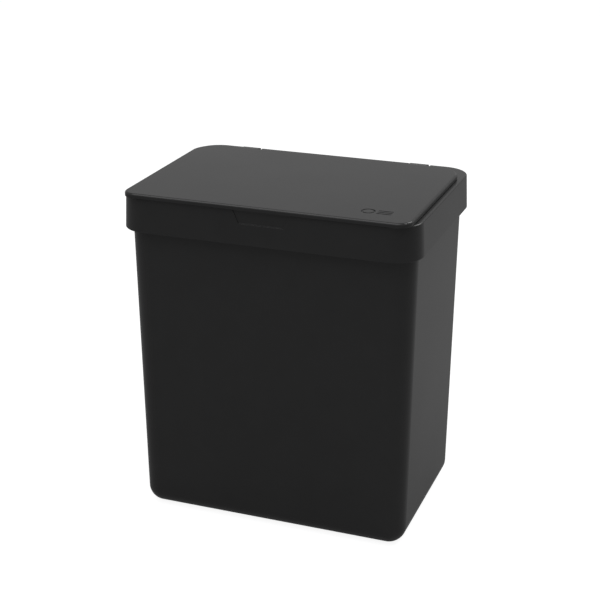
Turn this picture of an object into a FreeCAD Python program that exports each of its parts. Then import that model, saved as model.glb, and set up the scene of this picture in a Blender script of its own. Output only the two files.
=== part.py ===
import FreeCAD, Part
import math
import os
import re

import Sketcher

# A lidded kitchen waste bin: a tapered bucket, a rim frame that drops over the
# bucket's mouth and holds the bag, and a lid hinged to the frame's back edge.
# Millimetres. The origin is on the floor at the middle of the base, with +X to
# the right, -Y to the front and +Z up.

doc = FreeCAD.newDocument("waste_bin")

# ------------------------------------------------------------------ dimensions

SIZES = [
    # the rim frame, which sets the overall width and depth
    ("frame_width", 400.0, "rim frame, side to side along its upper edge"),
    ("frame_depth", 282.6, "rim frame, front to back along its upper edge"),
    ("frame_corner", 36.5, "rim frame, corner radius along its upper edge"),
    ("frame_bottom", 409.5, "height of the rim frame's lower edge above the floor"),
    ("frame_height", 45.5, "height of the rim frame's outer skirt"),
    ("frame_flare", 0.046, "outward slope of the outer skirt, per mm down"),
    ("frame_wall", 2.5, "rim frame wall"),
    ("frame_edge", 1.6, "rounding of the rim frame's upper edge"),
    ("frame_foot_edge", 0.6, "rounding of the rim frame's lower edge"),
    # the bucket
    ("side_overhang", 8.2, "frame's lower edge outside the bucket's side wall"),
    ("front_overhang", 13.5, "frame's lower edge outside the bucket's front wall"),
    ("bucket_taper", 0.015, "inward slope of each bucket wall, per mm down"),
    ("bucket_wall", 2.5, "bucket wall and floor"),
    ("base_edge", 23.0, "rounding between the bucket's walls and its base"),
    ("corner_spare", 0.6, "corner radius at the base, above that rounding"),
    ("rim_clearance", 7.6, "hinge wells above the bucket's rim"),
    ("lip_width", 2.0, "how far the bucket's rolled lip stands out"),
    ("lip_height", 6.0, "height of the rolled lip"),
    ("lip_edge", 0.9, "rounding of the rolled lip"),
    # anti-slip pads under the base
    ("pad_radius", 11.0, "pad"),
    ("pad_height", 2.2, "pad"),
    ("pad_proud", 0.6, "how far a pad stands below the base"),
    ("pad_inset", 17.0, "pad's centre inside the flat of the base"),
    ("pad_clearance", 0.2, "pad in its recess, on the radius"),
    ("pad_edge", 0.4, "rounding of the pad's lower edge"),
    # the frame's inside
    ("mouth_clearance", 1.5, "inner skirt inside the bucket's wall"),
    ("inner_wall", 2.2, "inner skirt, ribs and hinge wells"),
    ("inner_reach", 14.0, "how far the inner skirt goes down into the bucket"),
    ("rest_gap", 0.3, "between pieces that rest on each other"),
    # the finger scoop
    ("scoop_width", 60.0, "scoop, along its lower edge"),
    ("scoop_spread", 17.0, "how much wider the scoop is at the frame's upper edge"),
    ("scoop_height", 17.9, "scoop's lower edge below the frame's upper edge"),
    ("scoop_depth", 1.0, "scoop, behind the frame's upper edge"),
    ("scoop_slope", 0.35, "inward slope of the scoop's sides, per mm of depth"),
    # the lid
    ("lid_side_margin", 7.0, "frame's side edge outside the lid's"),
    ("lid_lip", 3.4, "how far the lid stands out in front of the frame"),
    ("lid_back_margin", 26.5, "frame's back edge behind the lid's"),
    ("lid_front_corner", 18.7, "lid, front corner radius"),
    ("lid_back_corner", 35.2, "lid, back corner radius"),
    ("lid_height", 6.2, "lid, from its skirt's lower edge to its top"),
    ("lid_gap", 0.6, "between the lid's skirt and the frame"),
    ("lid_wall", 2.4, "lid's top and skirt"),
    ("lid_edge", 3.0, "rounding of the lid's upper edge"),
    ("lid_rib", 1.6, "thickness of the ribs under the lid"),
    ("lid_rib_lift", 1.0, "lower edge of those ribs above the skirt's"),
    ("mouth_margin", 6.0, "lid's back edge behind the mouth's"),
    # the mark pressed into the lid, a ring with three bars beside it
    ("mark_margin", 52.0, "middle of the mark inside the lid's side edge"),
    ("mark_inset", 36.0, "middle of the mark behind the lid's front edge"),
    ("mark_length", 40.0, "ring and bars together"),
    ("mark_ring", 9.0, "ring, outer radius"),
    ("mark_gap", 3.0, "between the ring and the bars"),
    ("mark_pitch", 5.6, "between bars"),
    ("mark_line", 2.2, "width of the ring and of each bar"),
    ("mark_depth", 1.0, "depth of the mark"),
    # the hinges
    ("hinge_margin", 59.0, "outer end of a hinge slot inside the frame's side edge"),
    ("hinge_width", 31.5, "hinge slot, along the pin"),
    ("knuckle_gap", 2.8, "between a knuckle's end and the slot's"),
    ("knuckle_radius", 5.2, "knuckle, about the pin"),
    ("knuckle_clearance", 0.6, "knuckle clear of the slot's front wall"),
    ("knuckle_swing", 3.0, "room under the knuckle for its corner to turn"),
    ("pin_inset", 5.5, "pin's axis from the frame's back and upper faces"),
    ("pin_radius", 2.0, "hinge pin"),
    ("pin_clearance", 0.05, "pin in the knuckle, on the radius"),
    ("pin_edge", 0.4, "rounding of a pin's ends"),
    ("arm_drop", 1.6, "hinge arm below the lid's top, at the lid's back edge"),
    # rubber buffers under the lid's front corners
    ("buffer_radius", 4.0, "buffer"),
    ("buffer_edge", 0.8, "rounding of the buffer's lower edge"),
    ("buffer_inset", 44.0, "buffer's centre from the lid's side edge"),
]


def make_sheet(name, rows):
    """Write one named value per row."""
    made = doc.addObject("Spreadsheet::Sheet", name)
    for row, (alias, value, note) in enumerate(rows, start=1):
        made.set("A%d" % row, alias)
        made.set("B%d" % row, str(value))
        made.set("C%d" % row, note)
        made.setAlias("B%d" % row, alias)
    doc.recompute()
    return made


sheet = make_sheet("sizes", SIZES)
ALIASES = {alias for alias, value, note in SIZES}


def bound(text):
    """Turn a formula in the sheet's aliases into an expression for another object."""
    return re.sub(r"[a-z_]+", lambda m: "sizes." + m[0] if m[0] in ALIASES else m[0], text)


def number(text):
    """The present value of a formula in the sheet's aliases."""
    return float(sheet.evalExpression(text))


# ------------------------------------------------- heights and places as formulas

FRAME_TOP = "(frame_bottom + frame_height)"
SKIRT_SPREAD = "(frame_flare * frame_height)"
LID_BOTTOM = f"({FRAME_TOP} + lid_gap)"
LID_TOP = f"({LID_BOTTOM} + lid_height)"
LID_SIDE = "(frame_width / 2 - lid_side_margin)"
LID_FRONT = "(frame_depth / 2 + lid_lip)"
LID_BACK = "(frame_depth / 2 - lid_back_margin)"
PIN_Y = "(frame_depth / 2 - pin_inset)"
PIN_Z = f"({FRAME_TOP} - pin_inset)"
SLOT_FLOOR = f"({PIN_Z} - knuckle_radius - knuckle_swing)"
SLOT_FRONT = f"({PIN_Y} - knuckle_radius - knuckle_clearance)"
HINGE_OUTER = "(frame_width / 2 - hinge_margin)"
HINGE_INNER = f"({HINGE_OUTER} - hinge_width)"
WELL_BOTTOM = f"({SLOT_FLOOR} - inner_wall)"
BUCKET_TOP = f"({WELL_BOTTOM} - rim_clearance)"
INNER_BOTTOM = f"({BUCKET_TOP} - inner_reach)"
RIB_BOTTOM = f"({BUCKET_TOP} + rest_gap)"


def bucket_side(height):
    """Half the bucket's outside width at a height."""
    run = f"bucket_taper * (frame_bottom - {height})"
    return f"(frame_width / 2 + {SKIRT_SPREAD} - side_overhang - {run})"


def bucket_front(height):
    """Half the bucket's outside depth at a height."""
    run = f"bucket_taper * (frame_bottom - {height})"
    return f"(frame_depth / 2 + {SKIRT_SPREAD} - front_overhang - {run})"


def bucket_corner(height):
    """The bucket's outside corner radius at a height."""
    return f"(base_edge + corner_spare + bucket_taper * ({height} - pad_proud))"


INNER_INSET = "(bucket_wall + mouth_clearance)"
INNER_SIDE = f"({bucket_side(INNER_BOTTOM)} - {INNER_INSET})"
INNER_FRONT = f"({bucket_front(INNER_BOTTOM)} - {INNER_INSET})"
INNER_CORNER = f"({bucket_corner(INNER_BOTTOM)} - {INNER_INSET})"
MOUTH_BACK = f"({LID_BACK} - mouth_margin)"
MOUTH_SIDE = f"({INNER_SIDE} - inner_wall)"
MOUTH_FRONT = f"({INNER_FRONT} - inner_wall)"
MOUTH_CORNER = f"({INNER_CORNER} - inner_wall)"

# ------------------------------------------------------------ sketches and pieces


def origin_plane(body, role):
    return next(item for item in body.Origin.OriginFeatures if item.Role == role)


def new_body(label):
    body = doc.addObject("PartDesign::Body", label)
    body.Label = label
    return body


def new_sketch(body, name, offset, role="XY_Plane"):
    """A sketch parallel to an origin plane, at a distance along that plane's normal."""
    sketch = body.newObject("Sketcher::SketchObject", name)
    sketch.AttachmentSupport = [(origin_plane(body, role), "")]
    sketch.MapMode = "FlatFace"
    sketch.setExpression("AttachmentOffset.Base.z", bound(offset))
    return sketch


def constrain(sketch, kind, *where, to):
    """Add a dimension that follows a formula."""
    index = sketch.addConstraint(Sketcher.Constraint(kind, *where, number(to)))
    sketch.setExpression("Constraints[%d]" % index, bound(to))


def rounded_rectangle(sketch, side, front, back, front_corner, back_corner):
    """Straight sides at +-side, -front and +back, joined by four arcs."""
    x, y0, y1 = number(side), -number(front), number(back)
    low, high = number(front_corner), number(back_corner)
    point = FreeCAD.Vector
    corners = [
        (x - low, y0 + low, low, 270),
        (x - high, y1 - high, high, 0),
        (high - x, y1 - high, high, 90),
        (low - x, y0 + low, low, 180),
    ]
    ends = [
        (point(low - x, y0, 0), point(x - low, y0, 0)),
        (point(x, y0 + low, 0), point(x, y1 - high, 0)),
        (point(x - high, y1, 0), point(high - x, y1, 0)),
        (point(-x, y1 - high, 0), point(-x, y0 + low, 0)),
    ]
    for start, end in ends:
        sketch.addGeometry(Part.LineSegment(start, end))
    for cx, cy, radius, turn in corners:
        circle = Part.Circle(point(cx, cy, 0), point(0, 0, 1), radius)
        begin = math.radians(turn)
        sketch.addGeometry(Part.ArcOfCircle(circle, begin, begin + math.pi / 2))
    for k in range(4):
        sketch.addConstraint(Sketcher.Constraint("Tangent", k, 2, 4 + k, 1))
        sketch.addConstraint(Sketcher.Constraint("Tangent", 4 + k, 2, (k + 1) % 4, 1))
    for line, kind in enumerate(("Horizontal", "Vertical", "Horizontal", "Vertical")):
        sketch.addConstraint(Sketcher.Constraint(kind, line))
    sketch.addConstraint(Sketcher.Constraint("Equal", 4, 7))
    sketch.addConstraint(Sketcher.Constraint("Equal", 5, 6))
    constrain(sketch, "Radius", 4, to=front_corner)
    constrain(sketch, "Radius", 5, to=back_corner)
    constrain(sketch, "DistanceX", -1, 1, 1, 1, to=side)
    constrain(sketch, "DistanceX", 3, 1, -1, 1, to=side)
    constrain(sketch, "DistanceY", 0, 1, -1, 1, to=front)
    constrain(sketch, "DistanceY", -1, 1, 2, 1, to=back)


def place(sketch, geometry, end, x, y):
    """Fix a point of the sketch at formulas measured from its origin."""
    constrain(sketch, "DistanceX", -1, 1, geometry, end, to=x)
    constrain(sketch, "DistanceY", -1, 1, geometry, end, to=y)


def polygon(sketch, points):
    """A closed outline whose corners follow formulas."""
    first = sketch.GeometryCount
    spots = [FreeCAD.Vector(number(x), number(y), 0) for x, y in points]
    for k in range(len(points)):
        sketch.addGeometry(Part.LineSegment(spots[k], spots[(k + 1) % len(points)]))
    for k, (x, y) in enumerate(points):
        following = first + (k + 1) % len(points)
        sketch.addConstraint(Sketcher.Constraint("Coincident", first + k, 2, following, 1))
        place(sketch, first + k, 1, x, y)


def rectangle(sketch, x0, x1, y0, y1):
    polygon(sketch, [(x0, y0), (x1, y0), (x1, y1), (x0, y1)])


def circle(sketch, x, y, radius):
    middle = FreeCAD.Vector(number(x), number(y), 0)
    axis = FreeCAD.Vector(0, 0, 1)
    index = sketch.addGeometry(Part.Circle(middle, axis, number(radius)))
    constrain(sketch, "Radius", index, to=radius)
    place(sketch, index, 3, x, y)


def extrude(body, kind, name, sketch, length, spread="0", backwards=False):
    """A Pad or Pocket of a length, which spreads outwards by a share of it."""
    feature = body.newObject("PartDesign::" + kind, name)
    feature.Profile = sketch
    feature.Reversed = backwards
    feature.setExpression("Length", bound(length))
    feature.setExpression("TaperAngle", bound(f"atan({spread})"))
    sketch.Visibility = False
    doc.recompute()
    return feature


def fillet(body, name, radius, chosen):
    """Round the edges of the body's latest feature that the test chooses."""
    base = body.Tip
    edges = base.Shape.Edges
    names = ["Edge%d" % (k + 1) for k, edge in enumerate(edges) if chosen(edge.BoundBox)]
    feature = body.newObject("PartDesign::Fillet", name)
    feature.Base = (base, names)
    feature.setExpression("Radius", bound(radius))
    doc.recompute()
    return feature


def flat_at(height):
    """A test for edges that lie level at a height."""
    z = number(height)
    return lambda box: abs(box.ZMin - z) < 0.01 and abs(box.ZMax - z) < 0.01


def mirror_sides(body, name, originals):
    feature = body.newObject("PartDesign::Mirrored", name)
    feature.Originals = originals
    feature.MirrorPlane = (origin_plane(body, "YZ_Plane"), [""])
    body.Tip = feature
    doc.recompute()


def round_piece(label, radius, length, x, y, z, edge, role="XY_Plane"):
    """A round piece that stands on its lower end, or lies along +X as a pin with both ends rounded."""
    body = new_body(label)
    if role == "XY_Plane":
        across, up, offset = x, y, z
        chosen = flat_at(z)
    else:
        across, up, offset = y, z, x
        chosen = lambda box: box.XLength < 0.01
    sketch = new_sketch(body, label + "_outline", offset, role)
    circle(sketch, across, up, radius)
    extrude(body, "Pad", label + "_length", sketch, length)
    fillet(body, label + "_edges", edge, chosen)
    return body


# ------------------------------------------------------------------------- bucket

PAD_X = f"({bucket_side('pad_proud')} - base_edge - pad_inset)"
PAD_Y = f"({bucket_front('pad_proud')} - base_edge - pad_inset)"
PAD_PLACES = {
    "front_left": (f"-{PAD_X}", f"-{PAD_Y}"),
    "front_right": (PAD_X, f"-{PAD_Y}"),
    "back_left": (f"-{PAD_X}", PAD_Y),
    "back_right": (PAD_X, PAD_Y),
}


def make_bucket():
    body = new_body("bucket")

    def section(name, height, inset):
        sketch = new_sketch(body, name, height)
        side = f"({bucket_side(height)} - {inset})"
        front = f"({bucket_front(height)} - {inset})"
        radius = f"({bucket_corner(height)} - {inset})"
        rounded_rectangle(sketch, side, front, front, radius, radius)
        return sketch

    base = section("base_outline", "pad_proud", "0")
    depth = f"({BUCKET_TOP} - pad_proud)"
    extrude(body, "Pad", "bucket_walls", base, depth, "bucket_taper")
    lip_bottom = f"({BUCKET_TOP} - lip_height)"
    lip = section("lip_outline", lip_bottom, "(0 - lip_width)")
    extrude(body, "Pad", "rolled_lip", lip, "lip_height", "bucket_taper")

    floor = "(pad_proud + bucket_wall)"
    cavity = section("cavity_outline", floor, "bucket_wall")
    extrude(body, "Pocket", "cavity", cavity, depth, "bucket_taper", backwards=True)
    fillet(body, "cavity_rounding", "(base_edge - bucket_wall)", flat_at(floor))
    fillet(body, "base_rounding", "base_edge", flat_at("pad_proud"))

    rim_side = number(bucket_side(BUCKET_TOP))
    rim_front = number(bucket_front(BUCKET_TOP))

    def on_lip(box):
        level = flat_at(BUCKET_TOP)(box) or flat_at(lip_bottom)(box)
        beside = max(-box.XMin, box.XMax) > rim_side + 0.5
        before = max(-box.YMin, box.YMax) > rim_front + 0.5
        return level and (beside or before)

    fillet(body, "lip_rounding", "lip_edge", on_lip)

    recess = "(pad_height - pad_proud)"
    bosses = new_sketch(body, "pad_bosses_outline", "(pad_proud + bucket_wall / 2)")
    for x, y in PAD_PLACES.values():
        circle(bosses, x, y, "(pad_radius + bucket_wall)")
    extrude(body, "Pad", "pad_bosses", bosses, f"(bucket_wall / 2 + {recess})")
    recesses = new_sketch(body, "pad_recesses_outline", "pad_proud")
    for x, y in PAD_PLACES.values():
        circle(recesses, x, y, "(pad_radius + pad_clearance)")
    extrude(body, "Pocket", "pad_recesses", recesses, recess, backwards=True)
    return body


def make_pads():
    pads = []
    for name, (x, y) in PAD_PLACES.items():
        label = "foot_pad_" + name
        pads.append(round_piece(label, "pad_radius", "pad_height", x, y, "0", "pad_edge"))
    return pads


# ---------------------------------------------------------------------- rim frame

# places of the ribs that rest on the bucket's rim, as shares of a straight side
FRONT_RIBS = (-0.9, -0.45, 0.45, 0.9)
SIDE_RIBS = (-0.8, -0.27, 0.27, 0.8)
BACK_RIBS = (-0.5, 0.0, 0.5)


def make_frame():
    body = new_body("rim_frame")

    def foot(name, inset):
        sketch = new_sketch(body, name, "frame_bottom")
        spread = f"({SKIRT_SPREAD} - {inset})"
        side = f"(frame_width / 2 + {spread})"
        front = f"(frame_depth / 2 + {spread})"
        radius = f"(frame_corner + {spread})"
        rounded_rectangle(sketch, side, front, front, radius, radius)
        return sketch

    skirt = foot("skirt_outline", "0")
    extrude(body, "Pad", "skirt", skirt, "frame_height", "(0 - frame_flare)")
    fillet(body, "upper_rounding", "frame_edge", flat_at(FRAME_TOP))
    fillet(body, "lower_rounding", "frame_foot_edge", flat_at("frame_bottom"))
    hollow = foot("hollow_outline", "frame_wall")
    depth = "(frame_height - frame_wall)"
    extrude(body, "Pocket", "hollow", hollow, depth, "(0 - frame_flare)", backwards=True)

    inner = new_sketch(body, "inner_skirt_outline", INNER_BOTTOM)
    inner_back = f"({MOUTH_BACK} + inner_wall)"
    rounded_rectangle(inner, INNER_SIDE, INNER_FRONT, inner_back, INNER_CORNER, INNER_CORNER)
    web_middle = f"({FRAME_TOP} - frame_wall / 2)"
    extrude(body, "Pad", "inner_skirt", inner, f"({web_middle} - {INNER_BOTTOM})")

    ribs = new_sketch(body, "ribs_outline", RIB_BOTTOM)
    half = "inner_wall / 2"
    outer_x = "(frame_width / 2 - frame_wall / 2)"
    outer_y = "(frame_depth / 2 - frame_wall / 2)"
    root = "inner_wall / 2"
    for share in SIDE_RIBS:
        y = f"({share} * ({MOUTH_BACK} - {MOUTH_CORNER}))"
        for sign in ("-", ""):
            near = f"{sign}({INNER_SIDE} - {root})"
            rectangle(ribs, near, f"{sign}{outer_x}", f"({y} - {half})", f"({y} + {half})")
    for share in FRONT_RIBS:
        x = f"({share} * ({INNER_SIDE} - {INNER_CORNER}))"
        near = f"-({INNER_FRONT} - {root})"
        rectangle(ribs, f"({x} - {half})", f"({x} + {half})", f"-{outer_y}", near)
    for share in BACK_RIBS:
        x = f"({share} * {HINGE_INNER})"
        near = f"({inner_back} - {root})"
        rectangle(ribs, f"({x} - {half})", f"({x} + {half})", near, outer_y)
    extrude(body, "Pad", "ribs", ribs, f"({web_middle} - {RIB_BOTTOM})")

    backing = new_sketch(body, "scoop_backing_outline", f"({FRAME_TOP} - scoop_height - frame_wall)")
    reach = "((scoop_width + scoop_spread) / 2 + frame_wall)"
    deep = "(frame_depth / 2 - scoop_depth - frame_wall)"
    rectangle(backing, f"-{reach}", reach, f"-{outer_y}", f"-{deep}")
    extrude(body, "Pad", "scoop_backing", backing, "(scoop_height + frame_wall / 2)")

    mouth = new_sketch(body, "mouth_outline", FRAME_TOP)
    rounded_rectangle(mouth, MOUTH_SIDE, MOUTH_FRONT, MOUTH_BACK, MOUTH_CORNER, MOUTH_CORNER)
    extrude(body, "Pocket", "mouth", mouth, "frame_height")

    # the scoop's outline stands ahead of the skirt, so it is larger there by its slope
    scoop = new_sketch(body, "scoop_outline", "(frame_depth / 2 + frame_wall)", "XZ_Plane")
    spare = "(scoop_slope * (frame_wall - frame_flare * scoop_height))"
    above = "lid_height"
    lean = "(scoop_spread / scoop_height / 2)"
    foot = f"(scoop_width / 2 + {spare})"
    wide = f"({foot} + {lean} * (scoop_height + {above}))"
    low = f"({FRAME_TOP} - scoop_height - {spare})"
    high = f"({FRAME_TOP} + {above})"
    polygon(scoop, [(f"-{foot}", low), (foot, low), (wide, high), (f"-{wide}", high)])
    extrude(body, "Pocket", "finger_scoop", scoop, "(scoop_depth + frame_wall)", "(0 - scoop_slope)")

    well = new_sketch(body, "well_outline", WELL_BOTTOM)
    well_front = f"({SLOT_FRONT} - inner_wall)"
    near = f"({HINGE_INNER} - inner_wall)"
    far = f"({HINGE_OUTER} + inner_wall)"
    rectangle(well, near, far, well_front, outer_y)
    wells = extrude(body, "Pad", "hinge_well", well, f"({web_middle} - {WELL_BOTTOM})")
    slot = new_sketch(body, "slot_outline", SLOT_FLOOR)
    beyond = "(frame_depth / 2 + frame_wall + frame_height * frame_flare)"
    rectangle(slot, HINGE_INNER, HINGE_OUTER, SLOT_FRONT, beyond)
    slots = extrude(body, "Pocket", "hinge_slot", slot, "frame_height", backwards=True)
    hole = new_sketch(body, "pin_hole_outline", near, "YZ_Plane")
    circle(hole, PIN_Y, PIN_Z, "pin_radius")
    length = "(hinge_width + 2 * inner_wall)"
    holes = extrude(body, "Pocket", "pin_hole", hole, length, backwards=True)
    mirror_sides(body, "hinge_pair", [wells, slots, holes])
    return body


def make_pins():
    length = "(hinge_width + 2 * inner_wall)"
    starts = {"left": f"(-{HINGE_OUTER} - inner_wall)", "right": f"({HINGE_INNER} - inner_wall)"}
    pins = []
    for side, x in starts.items():
        label = "hinge_pin_" + side
        pins.append(round_piece(label, "pin_radius", length, x, PIN_Y, PIN_Z, "pin_edge", "YZ_Plane"))
    return pins


# ---------------------------------------------------------------------------- lid


def make_lid():
    body = new_body("lid")
    outline = new_sketch(body, "lid_outline", LID_BOTTOM)
    rounded_rectangle(outline, LID_SIDE, LID_FRONT, LID_BACK, "lid_front_corner", "lid_back_corner")
    extrude(body, "Pad", "panel", outline, "lid_height")
    fillet(body, "lid_rounding", "lid_edge", flat_at(LID_TOP))

    hollow = new_sketch(body, "lid_hollow_outline", LID_BOTTOM)
    rounded_rectangle(
        hollow,
        f"({LID_SIDE} - lid_wall)",
        f"({LID_FRONT} - lid_wall)",
        f"({LID_BACK} - lid_wall)",
        "(lid_front_corner - lid_wall)",
        "(lid_back_corner - lid_wall)",
    )
    extrude(body, "Pocket", "lid_hollow", hollow, "(lid_height - lid_wall)", backwards=True)

    ribs = new_sketch(body, "lid_ribs_outline", f"({LID_BOTTOM} + lid_rib_lift)")
    half = "lid_rib / 2"
    near, far = f"-({LID_FRONT} - lid_wall / 2)", f"({LID_BACK} - lid_wall / 2)"
    for share in (-0.5, 0, 0.5):
        x = f"({share} * {LID_SIDE})"
        rectangle(ribs, f"({x} - {half})", f"({x} + {half})", near, far)
    depth = "(lid_height - lid_rib_lift - lid_wall / 2)"
    extrude(body, "Pad", "lid_ribs", ribs, depth)

    arm = new_sketch(body, "arm_outline", f"({HINGE_INNER} + knuckle_gap)", "YZ_Plane")
    draw_arm(arm)
    arms = extrude(body, "Pad", "hinge_arm", arm, "(hinge_width - 2 * knuckle_gap)")
    mirror_sides(body, "hinge_arms", [arms])

    mark = new_sketch(body, "mark_outline", LID_TOP)
    middle = f"(mark_inset - {LID_FRONT})"
    centre = f"({LID_SIDE} - mark_margin)"
    ring_x = f"({centre} - mark_length / 2 + mark_ring)"
    circle(mark, ring_x, middle, "mark_ring")
    circle(mark, ring_x, middle, "(mark_ring - mark_line)")
    left, right = f"({ring_x} + mark_ring + mark_gap)", f"({centre} + mark_length / 2)"
    for row in (-1, 0, 1):
        low = f"({middle} + {row} * mark_pitch - mark_line / 2)"
        rectangle(mark, left, right, low, f"({low} + mark_line)")
    extrude(body, "Pocket", "mark", mark, "mark_depth")
    return body


def draw_arm(sketch):
    """Side view of a hinge arm: from the lid's back wall down to a knuckle on the pin."""
    root = f"({LID_BACK} - lid_wall / 2)"
    front = f"({PIN_Y} - knuckle_radius)"
    back = f"({PIN_Y} + knuckle_radius)"
    points = [
        (back, PIN_Z),
        (back, f"({FRAME_TOP} + rest_gap)"),
        (root, f"({LID_TOP} - arm_drop)"),
        (root, LID_BOTTOM),
        (front, LID_BOTTOM),
        (front, PIN_Z),
    ]
    spots = [FreeCAD.Vector(number(y), number(z), 0) for y, z in points]
    for start, end in zip(spots, spots[1:]):
        sketch.addGeometry(Part.LineSegment(start, end))
    bottom = FreeCAD.Vector(number(PIN_Y), number(PIN_Z) - number("knuckle_radius"), 0)
    heel = sketch.addGeometry(Part.Arc(spots[-1], bottom, spots[0]))
    last = len(points) - 2
    for k in range(last):
        sketch.addConstraint(Sketcher.Constraint("Coincident", k, 2, k + 1, 1))
    for k, (y, z) in enumerate(points[:-1]):
        place(sketch, k, 1, y, z)
    place(sketch, last, 2, *points[-1])
    sketch.addConstraint(Sketcher.Constraint("Coincident", last, 2, heel, 1))
    sketch.addConstraint(Sketcher.Constraint("Coincident", heel, 2, 0, 1))
    constrain(sketch, "DistanceY", -1, 1, heel, 3, to=PIN_Z)
    circle(sketch, PIN_Y, PIN_Z, "(pin_radius + pin_clearance)")


def make_buffers():
    x = f"({LID_SIDE} - buffer_inset)"
    y = f"(-({MOUTH_FRONT} + frame_depth / 2 - frame_edge) / 2)"
    z = f"({FRAME_TOP} + rest_gap)"
    length = "(lid_gap + lid_height - lid_wall - rest_gap)"
    return [
        round_piece("lid_buffer_left", "buffer_radius", length, f"(0 - {x})", y, z, "buffer_edge"),
        round_piece("lid_buffer_right", "buffer_radius", length, x, y, z, "buffer_edge"),
    ]


# -------------------------------------------------------------- build and write


def main():
    pieces = [make_bucket(), make_frame(), make_lid()]
    pieces += make_pads() + make_pins() + make_buffers()
    doc.recompute()
    for item in doc.Objects:
        broken = [word for word in item.State if word in ("Invalid", "Error")]
        if broken:
            raise RuntimeError("%s did not build: %s" % (item.Label, broken))
    for piece in pieces:
        shape = piece.Shape
        if shape.isNull() or not shape.isValid() or len(shape.Solids) != 1:
            raise RuntimeError("%s has no single valid solid" % piece.Label)
    os.makedirs("parts", exist_ok=True)
    for piece in pieces:
        piece.Shape.exportStep("parts/%s.step" % piece.Label)
        print("%-22s %10.1f mm3" % (piece.Label, piece.Shape.Volume))


main()
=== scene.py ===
import math

import bpy
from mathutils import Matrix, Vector


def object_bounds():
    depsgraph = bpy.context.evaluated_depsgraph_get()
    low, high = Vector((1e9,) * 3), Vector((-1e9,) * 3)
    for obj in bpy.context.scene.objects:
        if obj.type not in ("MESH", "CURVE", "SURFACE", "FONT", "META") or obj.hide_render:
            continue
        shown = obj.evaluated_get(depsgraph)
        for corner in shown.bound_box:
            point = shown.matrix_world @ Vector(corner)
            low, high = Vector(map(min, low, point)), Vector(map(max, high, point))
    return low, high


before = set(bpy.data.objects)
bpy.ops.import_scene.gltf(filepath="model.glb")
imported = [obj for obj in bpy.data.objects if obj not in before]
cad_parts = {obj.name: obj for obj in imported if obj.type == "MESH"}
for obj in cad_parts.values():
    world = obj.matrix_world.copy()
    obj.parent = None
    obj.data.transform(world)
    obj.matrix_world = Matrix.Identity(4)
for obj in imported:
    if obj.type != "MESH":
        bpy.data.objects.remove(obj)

# A black plastic kitchen waste bin with a rim frame and a hinged lid. The moulded
# parts come from the frame; this file gives them their finish, and adds the floor,
# the light and the camera. Metres throughout.

MM = 0.001

cad_low, cad_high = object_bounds()

# ------------------------------------------------------------------- node helpers

# The Mix node has one set of sockets for each kind of data; these are its colours.
FIRST_COLOUR = 6
SECOND_COLOUR = 7
MIXED_COLOUR = 2


def new_group(name, inputs, outputs):
    """A shader node group; each socket is a label and a kind."""
    group = bpy.data.node_groups.new(name, "ShaderNodeTree")
    for side, sockets in (("INPUT", inputs), ("OUTPUT", outputs)):
        for label, kind in sockets:
            group.interface.new_socket(label, in_out=side, socket_type="NodeSocket" + kind)
    group.nodes.new("NodeGroupInput").name = "in"
    group.nodes.new("NodeGroupOutput").name = "out"
    return group


def add(tree, kind, **settings):
    node = tree.nodes.new("ShaderNode" + kind)
    for key, value in settings.items():
        setattr(node, key, value)
    return node


def feed(tree, socket, value):
    """Give a socket its value: another node's output, a colour or a number."""
    if isinstance(value, bpy.types.NodeSocket):
        tree.links.new(value, socket)
    elif isinstance(value, tuple):
        socket.default_value = (*value, 1.0)
    else:
        socket.default_value = value


def maths(tree, operation, first, second, clamp=False):
    node = add(tree, "Math", operation=operation, use_clamp=clamp)
    feed(tree, node.inputs[0], first)
    feed(tree, node.inputs[1], second)
    return node.outputs[0]


def noise(tree, vector, scale, detail=3.0):
    node = add(tree, "TexNoise")
    node.inputs["Detail"].default_value = detail
    feed(tree, node.inputs["Scale"], scale)
    feed(tree, node.inputs["Vector"], vector)
    return node.outputs["Fac"]


def ramp(tree, value, low, high):
    """0 at low and below, 1 at high and above."""
    node = add(tree, "MapRange")
    node.inputs["From Min"].default_value = low
    node.inputs["From Max"].default_value = high
    feed(tree, node.inputs["Value"], value)
    return node.outputs["Result"]


def blend(tree, mask, first, second):
    """The first colour where the mask is 0, the second where it is 1."""
    node = add(tree, "Mix", data_type="RGBA")
    feed(tree, node.inputs["Factor"], mask)
    feed(tree, node.inputs[FIRST_COLOUR], first)
    feed(tree, node.inputs[SECOND_COLOUR], second)
    return node.outputs[MIXED_COLOUR]


# ---------------------------------------------------------- shared surface effects

# Patches, pebbles and specks are counted per metre. A pair of numbers is where an
# effect starts and where it is complete.
PEBBLE_SOFTNESS = 0.6
SPECKLES_PER_PEBBLE = 2.3
SPECKLE_HEIGHT = 0.5            # next to a pebble's height
MATT_PATCHES = 9.0

RUB_PATCHES = 60.0
RUB_BREAKS = (0.42, 0.62)       # in the pattern that breaks the rub up
RUB_TURN = (0.02, 0.22)         # in how far the edge turns from its face
RUB_SAMPLES = 6

DUST_LEVEL = (0.7, 1.0)         # in how far a face looks up
DUST_CLOUDS = 14.0
DUST_CLOUD_EDGE = (0.35, 0.75)
DUST_CLOUD_SHARE = 0.6
DUST_SPECKS = 700.0
DUST_SPECK_EDGE = (0.62, 0.72)
DUST_SPECK_SHARE = 0.4


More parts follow.
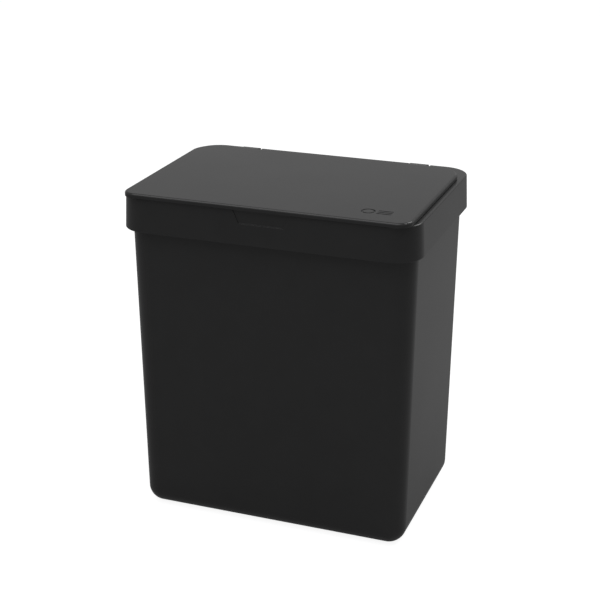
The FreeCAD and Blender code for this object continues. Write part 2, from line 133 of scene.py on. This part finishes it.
def make_grain():
    """Spark-eroded mould texture: a fine pebble with slow changes in how matt it is."""
    group = new_group(
        "mould_grain",
        [("Vector", "Vector"), ("Pebbles per metre", "Float"),
         ("Roughness", "Float"), ("Variation", "Float")],
        [("Height", "Float"), ("Roughness", "Float")],
    )
    source = group.nodes["in"].outputs
    target = group.nodes["out"].inputs
    cells = add(group, "TexVoronoi", feature="SMOOTH_F1")
    cells.inputs["Smoothness"].default_value = PEBBLE_SOFTNESS
    feed(group, cells.inputs["Vector"], source["Vector"])
    feed(group, cells.inputs["Scale"], source["Pebbles per metre"])
    finer = maths(group, "MULTIPLY", source["Pebbles per metre"], SPECKLES_PER_PEBBLE)
    speckle = noise(group, source["Vector"], finer)
    low_speckle = maths(group, "MULTIPLY", speckle, SPECKLE_HEIGHT)
    height = maths(group, "ADD", cells.outputs["Distance"], low_speckle)
    feed(group, target["Height"], height)
    slow = noise(group, source["Vector"], MATT_PATCHES, detail=4.0)
    centred = maths(group, "SUBTRACT", slow, 0.5)
    swing = maths(group, "MULTIPLY", centred, source["Variation"])
    varied = maths(group, "ADD", source["Roughness"], swing, clamp=True)
    feed(group, target["Roughness"], varied)
    return group


def make_edge_rub():
    """Where hands and the lid rub an edge, the grain wears smooth and slightly pale."""
    group = new_group(
        "edge_rub",
        [("Vector", "Vector"), ("Radius", "Float")],
        [("Mask", "Float"), ("Normal", "Vector")],
    )
    source = group.nodes["in"].outputs
    target = group.nodes["out"].inputs
    bevel = add(group, "Bevel", samples=RUB_SAMPLES)
    feed(group, bevel.inputs["Radius"], source["Radius"])
    plain = add(group, "NewGeometry")
    dot = add(group, "VectorMath", operation="DOT_PRODUCT")
    feed(group, dot.inputs[0], bevel.outputs["Normal"])
    feed(group, dot.inputs[1], plain.outputs["Normal"])
    turned = maths(group, "SUBTRACT", 1.0, dot.outputs["Value"], clamp=True)
    patches = noise(group, source["Vector"], RUB_PATCHES, detail=5.0)
    broken = ramp(group, patches, *RUB_BREAKS)
    edge = ramp(group, turned, *RUB_TURN)
    feed(group, target["Mask"], maths(group, "MULTIPLY", edge, broken))
    feed(group, target["Normal"], bevel.outputs["Normal"])
    return group


def make_dust():
    """A trace of dust that settles on what faces up."""
    group = new_group(
        "settled_dust",
        [("Vector", "Vector"), ("Amount", "Float")],
        [("Mask", "Float")],
    )
    source = group.nodes["in"].outputs
    plain = add(group, "NewGeometry")
    split = add(group, "SeparateXYZ")
    feed(group, split.inputs[0], plain.outputs["Normal"])
    level = ramp(group, split.outputs["Z"], *DUST_LEVEL)
    clouds = ramp(group, noise(group, source["Vector"], DUST_CLOUDS, detail=6.0), *DUST_CLOUD_EDGE)
    specks = ramp(group, noise(group, source["Vector"], DUST_SPECKS, detail=2.0), *DUST_SPECK_EDGE)
    haze = maths(group, "MULTIPLY", clouds, DUST_CLOUD_SHARE)
    grit = maths(group, "MULTIPLY", specks, DUST_SPECK_SHARE)
    lying = maths(group, "MULTIPLY", level, maths(group, "ADD", haze, grit))
    mask = maths(group, "MULTIPLY", lying, source["Amount"])
    feed(group, group.nodes["out"].inputs["Mask"], mask)
    return group


GRAIN = make_grain()
EDGE_RUB = make_edge_rub()
DUST = make_dust()


def use(tree, group, vector, **values):
    """Place a shared effect in a material with that material's own values."""
    node = tree.nodes.new("ShaderNodeGroup")
    node.node_tree = group
    feed(tree, node.inputs["Vector"], vector)
    for label, value in values.items():
        feed(tree, node.inputs[label.replace("_", " ")], value)
    return node.outputs


# ----------------------------------------------------------------------- materials

BLACK = (0.018, 0.018, 0.0183)
DARKER = tuple(c * 0.85 for c in BLACK)
PALER = tuple(c * 1.15 for c in BLACK)
TONE_PATCHES = 25.0
SATIN = 0.2
SATIN_SWING = 0.08
PEBBLES = 1100.0
PEBBLE_DEPTH = 0.004 * MM
PLASTIC_IOR = 1.5

RUB_RADIUS = 0.5 * MM
RUB_COLOUR = tuple(c * 1.6 for c in BLACK)
RUB_STRENGTH = 0.4
RUB_ROUGHNESS = -0.1
DUST_COLOUR = (0.12, 0.115, 0.11)
DUST_ROUGHNESS = 0.25

RUBBER_DARK = (0.012, 0.012, 0.012)
RUBBER_BLOOM = (0.03, 0.03, 0.031)
RUBBER_PATCHES = 180.0
RUBBER_PEBBLES = 1500.0
RUBBER_MATT = 0.75
RUBBER_SWING = 0.12
RUBBER_DEPTH = 0.04 * MM

STEEL_DULL = (0.42, 0.42, 0.43)
STEEL_BRIGHT = (0.6, 0.6, 0.61)
WIRE_STRETCH = (8.0, 900.0, 900.0)      # long along the pin, fine across it
WIRE_LINES = 4.0
WIRE_SHINE = 0.22
WIRE_SWING = 0.2
WIRE_DEPTH = 0.01 * MM


def start_material(name):
    material = bpy.data.materials.new(name)
    material.use_nodes = True
    tree = material.node_tree
    shader = tree.nodes["Principled BSDF"]
    place = add(tree, "TexCoord").outputs["Object"]
    return material, tree, shader, place


def emboss(tree, shader, height, depth):
    """Raise the shader's surface by a pattern, as deep as given."""
    bump = add(tree, "Bump")
    bump.inputs["Distance"].default_value = depth
    feed(tree, bump.inputs["Height"], height)
    feed(tree, shader.inputs["Normal"], bump.outputs["Normal"])
    return bump


def moulded_plastic(name, dust):
    """Injection-moulded polypropylene, satin, with a fine eroded grain."""
    material, tree, shader, place = start_material(name)
    grain = use(tree, GRAIN, place,
                Pebbles_per_metre=PEBBLES, Roughness=SATIN, Variation=SATIN_SWING)
    edge = use(tree, EDGE_RUB, place, Radius=RUB_RADIUS)
    settled = use(tree, DUST, place, Amount=dust)
    base = blend(tree, noise(tree, place, TONE_PATCHES, detail=4.0), DARKER, PALER)
    worn = blend(tree, maths(tree, "MULTIPLY", edge["Mask"], RUB_STRENGTH), base, RUB_COLOUR)
    feed(tree, shader.inputs["Base Color"], blend(tree, settled["Mask"], worn, DUST_COLOUR))
    rubbed = maths(tree, "MULTIPLY", edge["Mask"], RUB_ROUGHNESS)
    dusted = maths(tree, "MULTIPLY", settled["Mask"], DUST_ROUGHNESS)
    rough = maths(tree, "ADD", grain["Roughness"], rubbed)
    feed(tree, shader.inputs["Roughness"], maths(tree, "ADD", rough, dusted, clamp=True))
    bump = emboss(tree, shader, grain["Height"], PEBBLE_DEPTH)
    feed(tree, bump.inputs["Normal"], edge["Normal"])
    shader.inputs["IOR"].default_value = PLASTIC_IOR
    return material


def moulded_rubber(name):
    """Matt black rubber with a soft bloom."""
    material, tree, shader, place = start_material(name)
    grain = use(tree, GRAIN, place,
                Pebbles_per_metre=RUBBER_PEBBLES, Roughness=RUBBER_MATT, Variation=RUBBER_SWING)
    bloom = noise(tree, place, RUBBER_PATCHES, detail=5.0)
    feed(tree, shader.inputs["Base Color"], blend(tree, bloom, RUBBER_DARK, RUBBER_BLOOM))
    feed(tree, shader.inputs["Roughness"], grain["Roughness"])
    emboss(tree, shader, grain["Height"], RUBBER_DEPTH)
    return material


def drawn_steel(name):
    """Bright drawn wire, with fine lines along its length."""
    material, tree, shader, place = start_material(name)
    stretch = add(tree, "Mapping")
    stretch.inputs["Scale"].default_value = WIRE_STRETCH
    feed(tree, stretch.inputs["Vector"], place)
    lines = noise(tree, stretch.outputs["Vector"], WIRE_LINES, detail=4.0)
    feed(tree, shader.inputs["Base Color"], blend(tree, lines, STEEL_DULL, STEEL_BRIGHT))
    swing = maths(tree, "MULTIPLY", lines, WIRE_SWING)
    feed(tree, shader.inputs["Roughness"], maths(tree, "ADD", swing, WIRE_SHINE))
    shader.inputs["Metallic"].default_value = 1.0
    emboss(tree, shader, lines, WIRE_DEPTH)
    return material


MOULDINGS = {
    "bucket": moulded_plastic("bucket_plastic", dust=0.01),
    "rim_frame": moulded_plastic("frame_plastic", dust=0.02),
    "lid": moulded_plastic("lid_plastic", dust=0.03),
}
RUBBER = moulded_rubber("black_rubber")
STEEL = drawn_steel("pin_steel")


def finish_of(name):
    if name.startswith(("foot_pad", "lid_buffer")):
        return RUBBER
    if name.startswith("hinge_pin"):
        return STEEL
    return MOULDINGS[name]


for name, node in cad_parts.items():
    node.data.materials.clear()
    node.data.materials.append(finish_of(name))

# ------------------------------------------------------------ floor, light, camera

FLOOR_SIZE = 30.0
FLOOR_ROUGHNESS = 0.9
FLOOR_TONE = 0.22       # how much light the floor sends back to the object
FLOOR_SHOWN = 0.3       # how pale its own shading is to the camera
FLOOR_SPILL = 0.09      # light it gives the object even in shade
FLOOR_GLOW = 0.9        # how bright it is to the camera even in shade
SKY_TONE = 0.38         # light the sky gives the object
SKY_SHOWN = 1.05        # how bright it is to the camera


def by_ray(tree, shown, otherwise):
    """One grey for what the camera sees directly, another for light on the object."""
    path = add(tree, "LightPath")
    return blend(tree, path.outputs["Is Camera Ray"], (otherwise,) * 3, (shown,) * 3)


def make_floor():
    bpy.ops.object.select_all(action="DESELECT")
    bpy.ops.mesh.primitive_plane_add(size=FLOOR_SIZE, location=(0.0, 0.0, 0.0))
    floor = bpy.context.object
    floor.name = "floor"
    material = bpy.data.materials.new("pale_floor")
    material.use_nodes = True
    tree = material.node_tree
    shader = tree.nodes["Principled BSDF"]
    shader.inputs["Roughness"].default_value = FLOOR_ROUGHNESS
    shader.inputs["Specular IOR Level"].default_value = 0.0
    feed(tree, shader.inputs["Base Color"], by_ray(tree, FLOOR_SHOWN, FLOOR_TONE))
    feed(tree, shader.inputs["Emission Color"], by_ray(tree, FLOOR_GLOW, FLOOR_SPILL))
    shader.inputs["Emission Strength"].default_value = 1.0
    floor.data.materials.append(material)


def make_sky():
    world = bpy.data.worlds.new("studio")
    bpy.context.scene.world = world
    world.use_nodes = True
    tree = world.node_tree
    feed(tree, tree.nodes["Background"].inputs["Color"], by_ray(tree, SKY_SHOWN, SKY_TONE))


def softbox(name, place, aim, size, watts):
    """A square lamp turned towards a point."""
    lamp = bpy.data.lights.new(name, "AREA")
    lamp.shape = "SQUARE"
    lamp.size = size
    lamp.energy = watts
    holder = bpy.data.objects.new(name, lamp)
    bpy.context.scene.collection.objects.link(holder)
    holder.location = place
    holder.rotation_euler = (aim - place).to_track_quat("-Z", "Y").to_euler()


def make_camera(azimuth, elevation, distance, lens, aim):
    """A camera that looks at a point from an angle round the object and above the floor."""
    a, e = math.radians(azimuth), math.radians(elevation)
    back = Vector((math.sin(a) * math.cos(e), -math.cos(a) * math.cos(e), math.sin(e)))
    camera = bpy.data.cameras.new("camera")
    camera.lens = lens
    camera.sensor_width = 36.0
    holder = bpy.data.objects.new("camera", camera)
    bpy.context.scene.collection.objects.link(holder)
    holder.location = aim + back * distance
    holder.rotation_euler = (-back).to_track_quat("-Z", "Y").to_euler()
    bpy.context.scene.camera = holder


make_floor()
make_sky()
middle = (cad_low + cad_high) / 2
softbox("overhead", place=Vector((-0.3, -0.9, 2.3)), aim=middle, size=2.2, watts=20.0)
softbox("rear", place=Vector((1.1, 1.5, 2.0)), aim=Vector((0.5, 0.7, 0.0)), size=1.2, watts=15.0)
# The glint is the small bright spot on the lid's rounded corner.
softbox("glint", place=middle + Vector((1.06, 0.04, 1.7)), aim=middle, size=0.28, watts=2.5)
bpy.context.scene.view_settings.view_transform = "Standard"
AIM_HEIGHT = 0.621 * cad_high.z
make_camera(azimuth=20.35, elevation=21.34, distance=1.925, lens=84.12,
            aim=Vector((0.0, 0.0, AIM_HEIGHT)))
